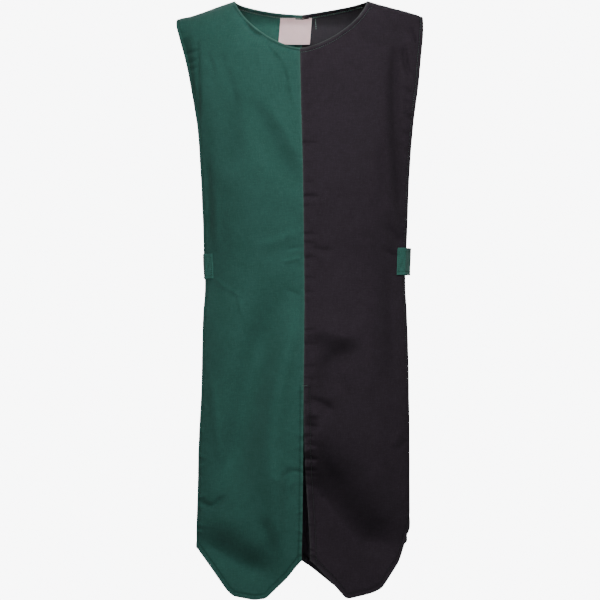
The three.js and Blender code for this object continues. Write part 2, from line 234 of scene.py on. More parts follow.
def curve(knots, values, place):
    """Value on a smooth curve through a table's rows, level beyond its ends."""
    knots = np.asarray(knots, float)
    values = np.asarray(values, float)
    if knots[0] > knots[-1]:
        knots, values = knots[::-1], values[::-1]
    row = np.arange(len(knots))
    lower, upper = np.maximum(row - 1, 0), np.minimum(row + 1, row[-1])
    slope = (values[upper] - values[lower]) / (knots[upper] - knots[lower])
    place = np.clip(place, knots[0], knots[-1])
    i = np.clip(np.searchsorted(knots, place) - 1, 0, row[-1] - 1)
    step = knots[i + 1] - knots[i]
    t = (place - knots[i]) / step
    chord = values[i + 1] - values[i]
    start_pull = step * slope[i] - chord
    end_pull = chord - step * slope[i + 1]
    return values[i] + t * chord + t * (1 - t) * ((1 - t) * start_pull + t * end_pull)


def level(column, z):
    return curve(LEVELS[:, 0], LEVELS[:, LEVEL_COLUMN[column]], z)


def ease(share):
    """Smooth step from 0 to 1."""
    share = np.clip(share, 0, 1)
    return share * share * (3 - 2 * share)


def lerp(a, b, t):
    return a + (b - a) * t


def bell(place, middle, width):
    """1 at the middle, falling to 0 on both sides."""
    return np.exp(-((place - middle) / width) ** 2)


def unit(ways):
    """The same ways, each 1 long."""
    return ways / np.linalg.norm(ways, axis=-1)[..., None]


def walk(points):
    """Distance walked along a path, at each of its points."""
    return np.concatenate([[0], np.cumsum(np.linalg.norm(np.diff(points, axis=0), axis=1))])


def ridge(x):
    """Height of the shoulder's ridge over a place."""
    out = np.abs(x)
    right = curve(SHOULDER[1:, 0], SHOULDER[1:, 1], out)
    left = curve(SHOULDER[1:, 0], SHOULDER[1:, 2], out)
    return -np.where(x < 0, right, left)


def stand_out(face, x, z):
    """How far the cloth hangs from the shoulder plane, before its creases."""
    edge = level("edge", z)
    half_width = np.where(x < 0, level("green", z), level("black", z))
    across = np.minimum(np.abs(x) / half_width, 1)
    section = edge + (level(face, z) - edge) * (1 - across ** level("turn", z))
    to_tip = np.clip((np.abs(x) - NECK_HALF_WIDTH) / 100, 0, 1)
    turn = lerp(TURN_AT_NECK[face], TURN_AT_TIP[face], to_tip)
    drop = np.clip((ridge(x) - z) / turn, 0, 1)
    return section * np.sqrt(1 - (1 - drop) ** 2)


CREASE_REACH = 2.6  # widths at which a crease has faded out
CREASE_STEP = 4
CREASE_FADE = 0.3  # share of its length over which a crease fades at each end


def crease_height(creases, x, z):
    """Sum of the creases at each place, below 0 in a trough. Each is how deep it is (below 0 for a ridge),
    its width on its left or upper side as it is walked, its width on the other side, and its path."""
    height = np.zeros_like(x)
    for deep, wide_one, wide_other, *path in creases:
        path = np.array(path, float)
        knots = walk(path)
        length = knots[-1]
        reach = CREASE_REACH * max(wide_one, wide_other)
        near = ((x > path[:, 0].min() - reach) & (x < path[:, 0].max() + reach)
                & (z > path[:, 1].min() - reach) & (z < path[:, 1].max() + reach))
        if not near.any():
            continue
        places = np.linspace(0, length, max(int(length / CREASE_STEP), 6))
        line = np.stack([curve(knots, path[:, 0], places), curve(knots, path[:, 1], places)], axis=-1)
        along = unit(np.gradient(line, axis=0))
        spot = np.stack([x[near], z[near]], axis=-1)
        nearest = ((spot[:, None] - line[None]) ** 2).sum(axis=2).argmin(axis=1)
        gap = spot - line[nearest]
        side = along[nearest, 0] * gap[:, 1] - along[nearest, 1] * gap[:, 0]
        walked = places[nearest] + (gap * along[nearest]).sum(axis=1)
        wide = np.where(side > 0, wide_one, wide_other)
        past = (wide_one + wide_other) / 2
        fade = max(CREASE_FADE * length, past) + past
        ends = ease((walked + past) / fade) * ease((length - walked + past) / fade)
        height[near] -= deep * ends * bell(side, 0, wide)
    return height


def ripple(x, z, lift, sizes, seed):
    """Irregular soft swells of a given height over cells of a given width and length."""
    across, down = sizes
    places = np.stack([x.ravel() / across, z.ravel() / down], axis=-1)
    swells = [noise.noise((px, seed, pz)) for px, pz in places]
    return lift * np.array(swells).reshape(x.shape)


def rungs(along_edge, from_edge, run, seed):
    """Short puckers square to a stitched edge, uneven in spacing, depth and slant."""
    place, end, deep, reach = run
    rng = np.random.default_rng(seed)
    height = np.zeros_like(along_edge)
    while place < end:
        wide = rng.uniform(2.6, 4.4)
        slant = rng.uniform(-0.5, 0.5)
        strength = deep * rng.uniform(0.3, 1.25) * rng.choice([-1, 1], p=[0.65, 0.35])
        fall = reach * rng.uniform(0.6, 1.5)
        offset = along_edge - place + slant * from_edge
        height += strength * bell(offset, 0, wide) * bell(from_edge, 0, fall)
        place += rng.uniform(11, 27)
    return height


FOLD_RADIUS = 0.55
SEAM_CLOSE = 0.2  # how far each of two folded edges is pressed into the other along a seam
CLOTH = 0.5  # thickness of the twill
TUCKED = 4  # steps from a folded edge to the raw edge inside it
FOLD_STEPS = 5
RIDGE_FADE = 18  # height below the ridge over which creases grow
NECK_FADE = 0.03
SHOULDER_FADE = 0.02
SLIT_FADE = 12
EDGE_WEAR_AND_HIGHLIGHT = {"middle": 0.45, "side": 0.4, "top": 1.0, "tail": 0.6}  # share of rubbed wear and painted highlight at each edge
MARK_WIDTH = 1.3  # width of an edge's band of rubbed wear and painted highlight, and of the painted shade along a row of stitches

# Swells of the cloth: height, width and length, and seed
SWELLS = [(1.1, (62, 130), 0), (0.45, (22, 36), 7.3), (0.1, (8, 9), 13.7)]

# A hem's swell, as its height and its middle and width in shares of the hem, and the dip at its stitches, as
# its depth and width
HEM_SWELL = (0.5, 0.45, 0.33)
HEM_DIP = (0.7, 1.1)

NARROW = 26  # creases narrower than this get painted shade in their bottom
# Crease depth at which that painted shade is full
FULL_SHADE_DEPTH = 9

# Shares of the neckline: where columns that start straight down are square to it, and where they start to
# turn to the angle of its corner
SQUARE_FROM = 0.12
CORNER_FROM = 0.6
CORNER_ANGLE = {"front": 40, "back": 15}
SHOULDER_ANGLES = (-3, -10)  # angles of columns from the shoulder, past its middle and at its tip
NECK_SHARE = {"front": 0.58, "back": 0.52}  # share of the columns that start at the neckline


class HalfPanel:
    """One half of the front or back, from its top edge (down 0) over the foot of the yoke (1) and the start
    of the tail (2) to the hem (3), and from the middle (across 0) to the side edge (across 1)."""

    def __init__(self, face, half, creases, edges, turned, seed):
        self.face, self.half = face, half
        self.name = face + "_" + half
        self.creases, self.edges, self.turned, self.seed = creases, edges, turned, seed
        self.sign = -1 if half == "green" else 1
        self.away = -1 if face == "front" else 1
        self.neck_share, self.corner_angle = NECK_SHARE[face], CORNER_ANGLE[face]
        self.lay_top_edge()
        self.square_yoke()
        self.measure_edges()

    def middle(self, z):
        return curve(MIDDLE[:, 0], MIDDLE[:, MIDDLE_COLUMN[self.name]], z)

    def side(self, z):
        return self.sign * level(self.half, z)

    def tail(self, across):
        knots, heights = np.array(TAILS[self.name]).T
        return sum(np.interp(across + shift, knots, heights) for shift in (-0.02, -0.01, 0, 0.01, 0.02)) / 5

    def lay_top_edge(self):
        """The neckline and the shoulder: place, height and the way the cloth leaves it, by share across."""
        angle = np.linspace(math.pi / 2, 0, 240)
        power = 2 / NECK_FULLNESS[self.name]
        neck_out = NECK_HALF_WIDTH * np.abs(np.cos(angle)) ** power
        neck_z = -NECK_DROP[self.face] * np.sin(angle) ** power
        neck_run = walk(np.stack([neck_out, neck_z], axis=1))
        share = neck_run / neck_run[-1]
        leaves = np.degrees(np.arctan2(np.gradient(neck_z), np.gradient(neck_out)))
        leaves = lerp(leaves * ease(share / SQUARE_FROM), self.corner_angle,
                      ease((share - CORNER_FROM) / (1 - CORNER_FROM)))
        tip = SHOULDER[-1, 0] if self.half == "green" else LEVELS[0, 2]
        out = np.linspace(NECK_HALF_WIDTH, tip, 80)
        z = ridge(self.sign * out)
        run = walk(np.stack([out, z], axis=1))
        onward = run / run[-1]
        neck_x = self.sign * neck_out + self.middle(-NECK_DROP[self.face]) * (1 - share) ** 2
        self.neck_length = neck_run[-1]
        self.top = {
            "across": np.concatenate([share * self.neck_share, lerp(self.neck_share, 1, onward[1:])]),
            "x": np.concatenate([neck_x, self.sign * out[1:]]),
            "z": np.concatenate([neck_z, z[1:]]),
            "leaves": np.concatenate([leaves, curve([0, 0.6, 1], [self.corner_angle, *SHOULDER_ANGLES],
                                                    onward[1:])]),
        }

    def yoke(self, across, down):
        """Place and height on the yoke's columns, which leave the top edge squarely and end level."""
        x0, z0, leaves = (np.interp(across, self.top["across"], self.top[k]) for k in ("x", "z", "leaves"))
        leaves = np.radians(leaves)
        z0 = np.where(across > self.neck_share, ridge(x0), z0)
        turned = np.sqrt(ridge(x0) - z0)
        fall = ridge(x0) - YOKE_FOOT
        growth = np.sqrt(fall) - turned
        t = (2 * turned * growth * down + (growth * down) ** 2) / (fall - turned ** 2)
        x1 = lerp(self.middle(YOKE_FOOT), self.side(YOKE_FOOT), across)
        below = YOKE_FOOT - 1
        lean = lerp(self.middle(below), self.side(below), across) - x1
        length = np.hypot(x1 - x0, YOKE_FOOT - z0)
        start_x, start_z = self.sign * length * np.sin(leaves), -length * np.cos(leaves)
        end_x, end_z = length * lean, -length
        b0, b1 = 2 * t ** 3 - 3 * t ** 2 + 1, t ** 3 - 2 * t ** 2 + t
        b2, b3 = 3 * t ** 2 - 2 * t ** 3, t ** 3 - t ** 2
        x = b0 * x0 + b1 * start_x + b2 * x1 + b3 * end_x
        z = b0 * z0 + b1 * start_z + b2 * YOKE_FOOT + b3 * end_z
        return x, z

    def square_yoke(self):
        """How far the yoke's outer columns are moved to follow the middle and the side edge."""
        self.steps = np.linspace(0, 1, 300)
        x, z = self.yoke(np.zeros_like(self.steps), self.steps)
        self.middle_shift = self.middle(z) - x
        x, z = self.yoke(np.ones_like(self.steps), self.steps)
        self.side_shift = self.side(z) - x
        self.side_shift -= self.side_shift[0] * (1 - ease(4 * self.steps))

    def elevation(self, across, down):
        """Place and height of any point of the panel."""
        on_yoke = np.clip(down, 0, 1)
        yoke_x, yoke_z = self.yoke(across, on_yoke)
        yoke_x = yoke_x + np.interp(on_yoke, self.steps, self.middle_shift) * (1 - across) ** 2
        yoke_x = yoke_x + np.interp(on_yoke, self.steps, self.side_shift) * across ** 3
        body_z = lerp(YOKE_FOOT, TAIL_START, np.clip(down - 1, 0, 1))
        z = np.where(down < 2, body_z, lerp(TAIL_START, self.tail(across), np.clip(down - 2, 0, 1)))
        x = lerp(self.middle(z), self.side(z), across)
        return np.where(down < 1, yoke_x, x), np.where(down < 1, yoke_z, z)

    def form(self, across, down):
        """Point of the panel's smooth form."""
        x, z = self.elevation(across, down)
        return np.stack([x, self.away * stand_out(self.face, x, z), z], axis=-1)

    def directions(self, across, down):
        """Ways across and down on the form, in mm for each unit, and its normal."""
        step = 0.002
        right, left = np.minimum(across + step, 1), np.maximum(across - step, 0)
        lower, upper = np.minimum(down + step, 3), np.maximum(down - step, 0)
        way_across = (self.form(right, down) - self.form(left, down)) / (right - left)[..., None]
        way_down = (self.form(across, lower) - self.form(across, upper)) / (lower - upper)[..., None]
        normal = np.cross(way_across, way_down) * self.sign * self.away
        return way_across, way_down, unit(normal)

    def measure_edges(self):
        """Width and length, square to each edge, that one unit across or down is there."""
        downs, acrosses = np.linspace(0, 3, 241), np.linspace(0, 1, 121)
        self.spans = {}
        for edge, places, across, down in (("middle", downs, 0, downs), ("side", downs, 1, downs),
                                           ("top", acrosses, acrosses, 0), ("tail", acrosses, acrosses, 3)):
            a, d, _ = self.directions(across + 0 * places, down + 0 * places)
            along = d if places is downs else a
            self.spans[edge] = places, np.linalg.norm(np.cross(a, d), axis=1) / np.linalg.norm(along, axis=1)

    def span(self, edge, place):
        return np.interp(place, *self.spans[edge])

    def from_edges(self, across, down):
        """Distance from each edge, true close to it."""
        return {
            "middle": across * self.span("middle", down),
            "side": (1 - across) * self.span("side", down),
            "top": down * self.span("top", across),
            "tail": (3 - down) * self.span("tail", across),
        }

    def folds(self, away, across, down, point):
        """How far creases and puckers stand out, fading where the cloth goes over the shoulder."""
        x, z = point[..., 0], point[..., 2]
        height = crease_height(self.creases, x, z)
        along = {"middle": -z, "side": -z, "top": across * self.neck_length / self.neck_share,
                 "tail": across * self.span("side", down) * 1.1}
        for number, (edge, *run) in enumerate(self.edges):
            height += rungs(along[edge], away[edge], run, int(self.seed * 10) + number)
        return height * ease((ridge(x) - z) / RIDGE_FADE)

    def sewn(self, edge, across, z, slit_fade):
        """1 where an edge is hemmed, and 0 on the shoulder and where the middle is seamed."""
        if edge == "top":
            return ease((self.neck_share - across) / NECK_FADE)
        if edge == "middle":
            return ease((SLIT_TOP + slit_fade / 2 - z) / slit_fade) if self.face == "front" else 0
        return 1

    def relief(self, away, across, point):
        """Height of swells and hems over the form."""
        x, z = point[..., 0], point[..., 2]
        height = sum(ripple(x, z, lift, sizes, self.seed + seed) for lift, sizes, seed in SWELLS)
        for edge, (stitched, _) in self.turned.items():
            hem = HEM_SWELL[0] * bell(away[edge], HEM_SWELL[1] * stitched, HEM_SWELL[2] * stitched)
            hem -= HEM_DIP[0] * bell(away[edge], stitched, HEM_DIP[1])
            height += hem * self.sewn(edge, across, z, SLIT_FADE)
        return height

    def cloth(self, across, down):
        """Point of the finished cloth's outer face, and the ways and normal there."""
        across, down = np.asarray(across, float), np.asarray(down, float)
        point = self.form(across, down)
        way_across, way_down, normal = self.directions(across, down)
        away = self.from_edges(across, down)
        folds = self.folds(away, across, down, point)
        point = point + self.relief(away, across, point)[..., None] * normal
        point[..., 1] += self.away * folds
        return point, way_across, way_down, normal

    def stitched(self, across, down):
        """Painted shade: 1 on the lines of stitches, up to half that in the bottom of narrow creases,
        and 0 elsewhere.
        """
        away = self.from_edges(across, down)
        x, z = self.elevation(across, down)
        narrow = [crease for crease in self.creases if crease[0] > 0 and max(crease[1:3]) < NARROW]
        painted_groove_shade = np.clip(-crease_height(narrow, x, z) / FULL_SHADE_DEPTH, 0, 1)
        lines = [0.5 * painted_groove_shade * ease((ridge(x) - z) / RIDGE_FADE)]
        for edge, (stitched, _) in self.turned.items():
            lines.append(bell(away[edge], stitched, MARK_WIDTH) * self.sewn(edge, across, z, SLIT_FADE / 2))
        return np.max(lines, axis=0)


def edge_steps(allowance):
    """Angle round the fold and run inwards from it, from the last flat point to the raw edge."""
    angles = [math.pi * (k + 1) / FOLD_STEPS for k in range(FOLD_STEPS)] + [math.pi] * (TUCKED - 1)
    runs = [0] * FOLD_STEPS + [allowance * (k + 1) / (TUCKED - 1) for k in range(TUCKED - 1)]
    return list(zip(angles, runs))


def turned_lines(panel, first, last, shares, end):
    """The mesh's lines from one edge to the other, each with its angle round a fold and its place if flat."""
    lines = ([(first, *step) for step in reversed(edge_steps(panel.turned[first][1]))]
             + [("flat", share, 0) for share in shares]
             + [(last, *step) for step in edge_steps(panel.turned[last][1])])
    angles = np.array([0 if kind == "flat" else value for kind, value, _ in lines])
    places = np.array([value if kind == "flat" else end * (kind == last) for kind, value, _ in lines])
    return lines, angles, places


def way_out(way, other_way, normal, past_middle):
    """Way out over an edge, in the cloth's plane and square to the edge."""
    out = unit(np.cross(other_way, normal))
    return out * np.sign((out * way).sum(axis=-1))[..., None] * np.where(past_middle, 1, -1)


def cloth_piece(name, points, laid, facing, material, wall, offset):
    """A grid laid through points in mm, with its flat cut as UV map, its outside facing a way, and a wall."""
    rows, columns = points.shape[:2]
    bm = bmesh.new()
    bmesh.ops.create_grid(bm, x_segments=columns - 1, y_segments=rows - 1, size=1)
    piece = link_mesh(name, bm, material)
    mesh = piece.data
    mesh.vertices.foreach_set("co", (points * MM).reshape(-1))
    mesh.update()
    if mesh.polygons[(rows - 1) // 2 * (columns - 1) + columns // 2].normal.dot(facing) < 0:
        mesh.flip_normals()
    cut = mesh.uv_layers.new(name="cut")
    corners = np.empty(len(mesh.loops), int)
    mesh.loops.foreach_get("vertex_index", corners)
    cut.data.foreach_set("uv", (laid.reshape(-1, 2) * MM)[corners].reshape(-1))
    mesh.update()
    solid = piece.modifiers.new("thickness", "SOLIDIFY")
    solid.thickness = wall * MM
    solid.offset = offset
    return piece


def panel_mesh(panel, shares, rows, material, reverse):
    """A half panel as one piece of cloth, with its edges turned in on all four sides."""
    columns, turn_across, nominal_across = turned_lines(panel, "middle", "side", shares, 1.0)
    lines, turn_down, nominal_down = turned_lines(panel, "top", "tail", rows, 3.0)
    across = np.empty((len(lines), len(columns)))
    down = np.empty_like(across)
    inset = {edge: FOLD_RADIUS / panel.span(edge, nominal_down) for edge in ("middle", "side")}
    inset["middle"] -= SEAM_CLOSE / panel.span("middle", nominal_down)
    for j, (kind, value, run) in enumerate(columns):
        if kind == "flat":
            across[:, j] = lerp(inset["middle"], 1 - inset["side"], value)
        else:
            inward = inset[kind] + run / panel.span(kind, nominal_down)
            across[:, j] = inward if kind == "middle" else 1 - inward
    inset = {edge: FOLD_RADIUS / panel.span(edge, nominal_across) for edge in ("top", "tail")}
    on_shoulder = ease((nominal_across - panel.neck_share) / SHOULDER_FADE)
    inset["top"] -= SEAM_CLOSE * on_shoulder / panel.span("top", nominal_across)
    for i, (kind, value, run) in enumerate(lines):
        if kind == "flat":
            down[i] = np.clip(value, inset["top"], 3 - inset["tail"])
        else:
            inward = inset[kind] + run / panel.span(kind, nominal_across)
            down[i] = inward if kind == "top" else 3 - inward
    point, way_across, way_down, normal = panel.cloth(across, down)
    turn_across, turn_down = turn_across[None, :, None], turn_down[:, None, None]
    out_across = way_out(way_across, way_down, normal, nominal_across[None, :, None] >= 0.5)
    out_down = way_out(way_down, way_across, normal, nominal_down[:, None, None] >= 1.5)
    folded = FOLD_RADIUS * ((1 - np.cos(turn_across)) + (1 - np.cos(turn_down)))
    point = (point + FOLD_RADIUS * (out_across * np.sin(turn_across) + out_down * np.sin(turn_down))
             - normal * folded)

    width = panel.span("side", np.array([1.5]))[0]
    _, z = panel.elevation(across, down)
    piece = cloth_piece(panel.name + "_cloth", point, np.stack([across * width, z], axis=-1),
                        (0, panel.away, 0), material, CLOTH, -1)
    away = panel.from_edges(across, down)
    # Edges get rubbed wear with a painted highlight, and stitch lines and narrow creases get painted shade,
    # as attributes the twill reads
    sharp = [share * np.exp(-away[edge] / MARK_WIDTH) for edge, share in EDGE_WEAR_AND_HIGHLIGHT.items()]
    for name, values in (("edge_wear_and_highlight", np.max(sharp, axis=0)), ("painted_groove_shade", panel.stitched(across, down))):
        layer = piece.data.attributes.new(name, "FLOAT", "POINT")
        layer.data.foreach_set("value", values.reshape(-1))
    piece.data.materials.append(reverse)
    piece.modifiers["thickness"].material_offset = 1
    return piece


# Cotton twill, piece-dyed and lightly brushed: matt, with a faint sheen at grazing angles, a fine diagonal
# rib, slubs along both threads, small lighter flecks of loose fibre and slightly uneven dye. The rib is
# 0.9 mm and a slub 2.4 mm wide, coarser than real, so that they show.
TWILL_RIB = 0.0009
SLUB = (0.0024, 0.016)


def blend(tree, share, first, second):
    """A colour between two others, each a hex colour or a node's."""
    settings, links = {"data_type": "RGBA"}, {0: share}
    for place, colour in ((6, first), (7, second)):
        if isinstance(colour, str):
            settings[place] = linear(colour)
        else:
            links[place] = colour
    return add_node(tree, "Mix", settings, links).outputs[2]


def twill(name, colour, fleck, worn_and_lit_colour, deep, painted_facing_shade, sheen):
    """Brushed cotton twill of one colour, with its flecks, edges paler from rubbing and a painted highlight,
    and painted shade along its stitch lines and in narrow creases. Its colour is also painted shade and
    light by the way the cloth faces: scaled from the second value given, where it faces down at 30 degrees
    or more, to 1.06, where it faces up more than the first value given."""
    material, tree = new_material(name)
    place = add_node(tree, "TexCoord")
    cut = add_node(tree, "UVMap", {"uv_map": "cut"})
    rib = add_node(tree, "TexWave",
                   {"wave_type": "BANDS", "bands_direction": "DIAGONAL", "Scale": math.tau / (14 * TWILL_RIB),
                    "Distortion": 0.4, "Detail": 1.0, "Detail Scale": 2.0}, {"Vector": cut})
    fibre = add_node(tree, "TexNoise", {"Scale": 560.0, "Detail": 4.0, "Roughness": 0.75},
                     {"Vector": place.outputs["Object"]})
    dye = add_node(tree, "TexNoise", {"Scale": 34.0, "Detail": 5.0, "Roughness": 0.7},
                   {"Vector": place.outputs["Object"]})
    slubs = []
    for thick, long in (SLUB, SLUB[::-1]):
        laid = add_node(tree, "Mapping", {"Scale": (1 / thick, 1 / long, 1)}, {"Vector": cut})
        slubs.append(add_node(tree, "TexNoise", {"Scale": 1.0, "Detail": 2.0}, {"Vector": laid}))
    threads = add_node(tree, "Math", {"operation": "ADD"}, {0: slubs[0], 1: slubs[1]})
    uneven = add_node(tree, "Math", {"operation": "ADD"}, {0: threads, 1: dye})
    edge_wear_and_highlight = add_node(tree, "Attribute", {"attribute_name": "edge_wear_and_highlight"})
    painted_groove_shade = add_node(tree, "Attribute", {"attribute_name": "painted_groove_shade"})
    ramp = add_node(tree, "MapRange", {"From Min": 1.15, "From Max": 1.85}, {"Value": uneven})
    dyed = blend(tree, ramp, *colour)
    flecks = add_node(tree, "MapRange", {"From Min": 0.52, "From Max": 0.78, "To Max": 0.3},
                      {"Value": fibre})
    flecked = blend(tree, flecks, dyed, fleck)
    # Edges paler, as rubbed wear with a painted highlight
    wear_and_highlight_share = add_node(tree, "Math", {"operation": "MULTIPLY", 1: 0.75}, {0: edge_wear_and_highlight.outputs["Fac"]})
    edged = blend(tree, wear_and_highlight_share, flecked, worn_and_lit_colour)
    # Painted shade: the dark colour given darkens the stitch lines and the bottom of narrow creases
    shaded = add_node(tree, "Math", {"operation": "MULTIPLY", 1: 0.6}, {0: painted_groove_shade.outputs["Fac"]})
    hemmed = blend(tree, shaded, edged, deep)
    # Painted shade and light: the colour is scaled by how far the surface faces up or down
    surface = add_node(tree, "NewGeometry")
    facing = add_node(tree, "SeparateXYZ", {}, {"Vector": surface.outputs["Normal"]})
    facing_shade = add_node(tree, "MapRange",
                     {"From Min": -0.5, "From Max": painted_facing_shade[0], "To Min": painted_facing_shade[1], "To Max": 1.06},
                     {"Value": facing.outputs["Z"]})
    facing_shaded = add_node(tree, "VectorMath", {"operation": "SCALE"}, {0: hemmed, "Scale": facing_shade})
    bump = add_node(tree, "Bump", {"Strength": 0.35, "Distance": 0.0002}, {"Height": rib.outputs["Fac"]})
    fuzz = add_node(tree, "Bump", {"Strength": 0.3, "Distance": 0.0004}, {"Height": fibre, "Normal": bump})
    rough = add_node(tree, "MapRange", {"To Min": 0.82, "To Max": 0.97}, {"Value": fibre})
    shader = add_node(tree, "BsdfPrincipled",
                      {"Specular IOR Level": 0.22, "Sheen Weight": sheen, "Sheen Roughness": 0.5},
                      {"Base Color": facing_shaded, "Roughness": rough, "Normal": fuzz})
    finish_material(tree, shader)
    return material


# Colours given to each twill: two dye colours, flecks, a paler colour for rubbed edges with a painted
# highlight, and a dark colour for painted shade in stitch lines and narrow creases
green_twill = twill("green_cotton_twill", ("#2f5d53", "#37675e"), "#6a9187", "#668f84", "#1b4138",
                    painted_facing_shade=(0.1, 0.7), sheen=0.1)
black_twill = twill("black_cotton_twill", ("#302930", "#383039"), "#5d5861", "#68706d", "#151216",
                    painted_facing_shade=(-0.02, 0.55), sheen=0.02)
# A paler copy of the green twill for the tabs, as painted light on them
strap_twill = twill("green_strap_twill", ("#397064", "#458074"), "#6d988e", "#7ba599", "#1d443b",
                    painted_facing_shade=(0.1, 0.8), sheen=0.1)

# The same cloth's back, used inside, paler than its outside as painted light that brightens the shaded inside
green_reverse = twill("green_twill_reverse", ("#34655a", "#3d7066"), "#719a8f", "#5c8479", "#224b42",
                      painted_facing_shade=(0.1, 0.8), sheen=0.1)
black_reverse = twill("black_twill_reverse", ("#37353a", "#403b41"), "#545057", "#454047", "#1c181d",
                      painted_facing_shade=(0.1, 0.8), sheen=0.02)

# Creases of the front in mm, from the neck down
CREASES_GREEN = [
    (10, 13, 20, (-217, -44), (-214, -80), (-209, -113), (-205, -157), (-199, -200), (-193, -250)),
    (3.2, 2.6, 6, (-188, -58), (-186, -110), (-185, -170), (-184, -240)),
    (2.4, 3, 3.5, (-212, -102), (-200, -99), (-187, -97)),
    (2.2, 3, 3.5, (-208, -118), (-198, -116), (-188, -112)),
    (1.8, 3, 3, (-205, -131), (-197, -130), (-188, -127)),
    (4.6, 3.5, 7, (-106, -36), (-100, -50), (-85, -66), (-77, -71), (-66, -77)),
    (3.4, 5, 8, (-170, -279), (-168, -324), (-166, -378), (-166, -433), (-166, -465)),
    (-1.8, 6, 5, (-153, -343), (-153, -406), (-151, -474)),
    (2, 7, 9, (-152, -82), (-143, -106), (-131, -143), (-120, -182), (-113, -227)),
    (1.7, 4, 6, (-168, -99), (-163, -119), (-157, -142)),
    (5, 24, 20, (-131, -176), (-126, -236), (-129, -313)),
    (1.2, 3.5, 4, (-90, -74), (-85, -104), (-77, -146)),
    (3.2, 3.5, 6, (-68, -82), (-52, -102), (-36, -124), (-27, -148), (-23, -178), (-16, -214)),
    (5.8, 18, 20, (-104, -177), (-77, -214), (-54, -264), (-30, -307), (0, -357)),
    (-3, 12, 12, (-52, -200), (-32, -239), (-11, -279), (2, -304)),
    (-1.6, 9, 10, (-77, -457), (-37, -443), (0, -427)),
    (1, 3, 3, (-27, -461), (-12, -457), (0, -455)),
    (-1.2, 3, 3, (-34, -482), (-16, -479), (2, -473)),
    (1.1, 3, 4, (-30, -530), (-14, -536), (2, -545)),
    (-1.2, 4, 4, (-153, -512), (-144, -523), (-133, -530)),
    (-1.2, 4, 4, (-131, -530), (-118, -537), (-106, -545)),
    (-1, 4, 4, (-115, -541), (-109, -559), (-107, -579)),
    (23, 38, 30, (-40, -520), (-72, -625), (-92, -704), (-108, -783), (-124, -851), (-146, -930)),
    (-12, 20, 26, (-14, -541), (-28, -632), (-40, -704), (-50, -782), (-56, -871), (-52, -963)),
    (-7, 12, 20, (-36, -830), (-40, -880), (-42, -940), (-44, -1000)),
    (-2.4, 9, 8, (-168, -669), (-159, -723), (-150, -802), (-138, -870)),
    (4.4, 7, 5, (-188, -913), (-172, -921), (-159, -922), (-146, -912), (-132, -902)),
    (-2.4, 8, 8, (-25, -846), (-20, -843)),
    (-2, 8, 8, (-48, -870), (-43, -866)),
    (1.8, 5, 5, (-34, -866), (-18, -857), (4, -855)),
    (-1.4, 5, 5, (-12, -870), (-18, -884)),
    (22, 34, 24, (-172, -985), (-135, -1010), (-107, -1026), (-77, -1036), (-50, -1042)),
    (3.5, 12, 14, (-68, -943), (-59, -972), (-48, -1002)),
]
CREASES_BLACK = [
    (16, 28, 16, (100, -52), (125, -60), (150, -64), (190, -66)),
    (9.5, 12, 11, (177, -40), (176, -91), (170, -121), (168, -170), (169, -228), (173, -297), (178, -369),
     (184, -437)),
    (7, 4.5, 6, (189, -81), (189, -105), (193, -129), (200, -149)),
    (5, 5, 6, (193, -44), (203, -68), (211, -92)),
    (2.6, 3, 3, (183, -167), (194, -172), (204, -178)),
    (2.4, 3, 3, (183, -189), (193, -194), (202, -196)),
    (2.6, 3, 3, (183, -212), (194, -218), (204, -221)),
    (2, 3, 3, (181, -249), (193, -252), (202, -256)),
    (1.6, 5, 5, (11, -136), (25, -113), (45, -91)),
    (1.6, 9, 9, (50, -145), (54, -178)),
    (1.6, 9, 9, (126, -99), (130, -110)),
    (2.4, 12, 12, (144, -262), (148, -325), (142, -384)),
    (1.4, 6, 6, (14, -454), (34, -461), (57, -462)),
    (2.4, 8, 7, (155, -417), (170, -434), (183, -447)),
    (2, 5, 5, (153, -460), (166, -469), (179, -472)),
    (5, 14, 18, (153, -489), (159, -564), (161, -640), (163, -716)),
    (-2.6, 14, 16, (117, -550), (124, -640), (126, -733)),
    (-8, 26, 22, (14, -598), (60, -608), (102, -616)),
    (5.5, 20, 18, (96, -640), (66, -652), (48, -670), (38, -700), (24, -735)),
    (2, 8, 8, (61, -671), (77, -700), (91, -731)),
    (-3.5, 14, 14, (37, -720), (59, -716)),
    (4, 8, 7, (12, -727), (37, -736), (59, -752)),
    (-4, 7, 8, (9, -750), (30, -755)),
    (3, 6, 6, (4, -773), (30, -779)),
    (2, 3.5, 3.5, (4, -793), (22, -795)),
    (2.2, 3.5, 3.5, (4, -807), (27, -812)),
    (2.2, 3.5, 4, (6, -830), (29, -837)),
    (1.8, 3.5, 3.5, (6, -854), (27, -857)),
    (2.5, 16, 14, (29, -793), (39, -829), (52, -863), (66, -888)),
    (16, 160, 50, (-10, -975), (60, -985), (190, -985)),
    (34, 54, 34, (8, -846), (41, -905), (66, -942), (94, -975), (128, -1003), (172, -1034)),
    (2.5, 8, 8, (70, -1047), (95, -1039)),
    (-1.6, 5, 5, (163, -815), (174, -798), (187, -781)),
    (1.6, 5, 5, (172, -825), (181, -815), (193, -804)),
]

# Pulls in the black half beside the middle seam, as height, depth and slant
SEAM_PULLS = [
    (-136, 1.6, 2), (-164, 1.4, -2), (-204, 1.8, 1), (-228, 1.4, 3), (-270, 3, -1), (-307, 1.6, 2),
    (-338, 1.8, -3), (-366, 3, 1), (-384, 1.5, 2), (-432, 2, -1), (-449, 1.5, 1), (-476, 1.8, 2),
    (-510, 1.6, -2), (-537, 1.8, 1), (-605, 2, 2), (-629, 1.8, -1), (-670, 2.2, 1), (-690, 1.8, -2)]
CREASES_BLACK += [(0.6 * deep, 3.6, 4.6, (-4, z), (20 + 4 * deep, z + slant))
                  for z, deep, slant in SEAM_PULLS]

